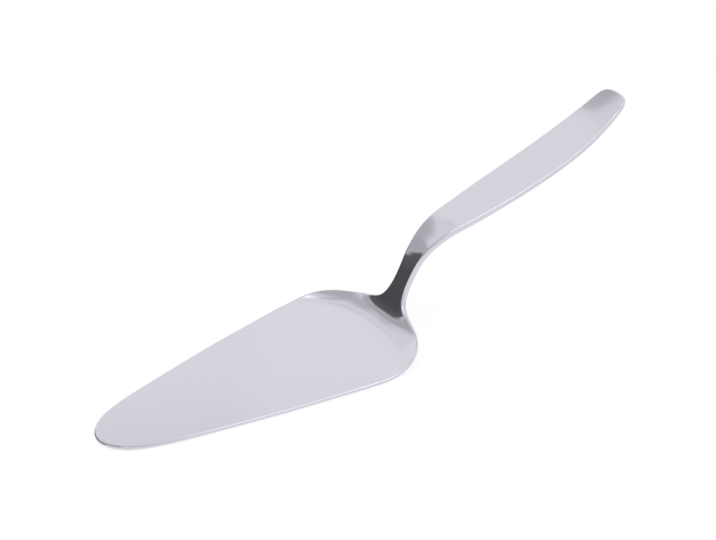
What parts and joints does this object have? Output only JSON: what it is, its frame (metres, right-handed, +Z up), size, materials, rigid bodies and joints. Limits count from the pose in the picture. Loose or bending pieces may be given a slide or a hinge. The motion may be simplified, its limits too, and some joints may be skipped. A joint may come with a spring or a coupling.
{
  "type": "cake server",
  "caption": "Pressed steel cake server: flat tapering blade with a round tip and a curled back edge, a narrow rising neck, and a long handle that turns up at its end.",
  "frame": {"origin": "on the flat underside of the blade, on its middle line, half-way along the flat", "axes": "+X from the tip of the blade to the end of the handle, +Z up from the table, +Y across the blade"},
  "size_m": [0.2336, 0.062, 0.0609],
  "materials": {
    "steel": "polished"
  },
  "bodies": {
    "root": {"blade": "steel", "neck": "steel", "handle": "steel"}
  },
  "joints": []
}
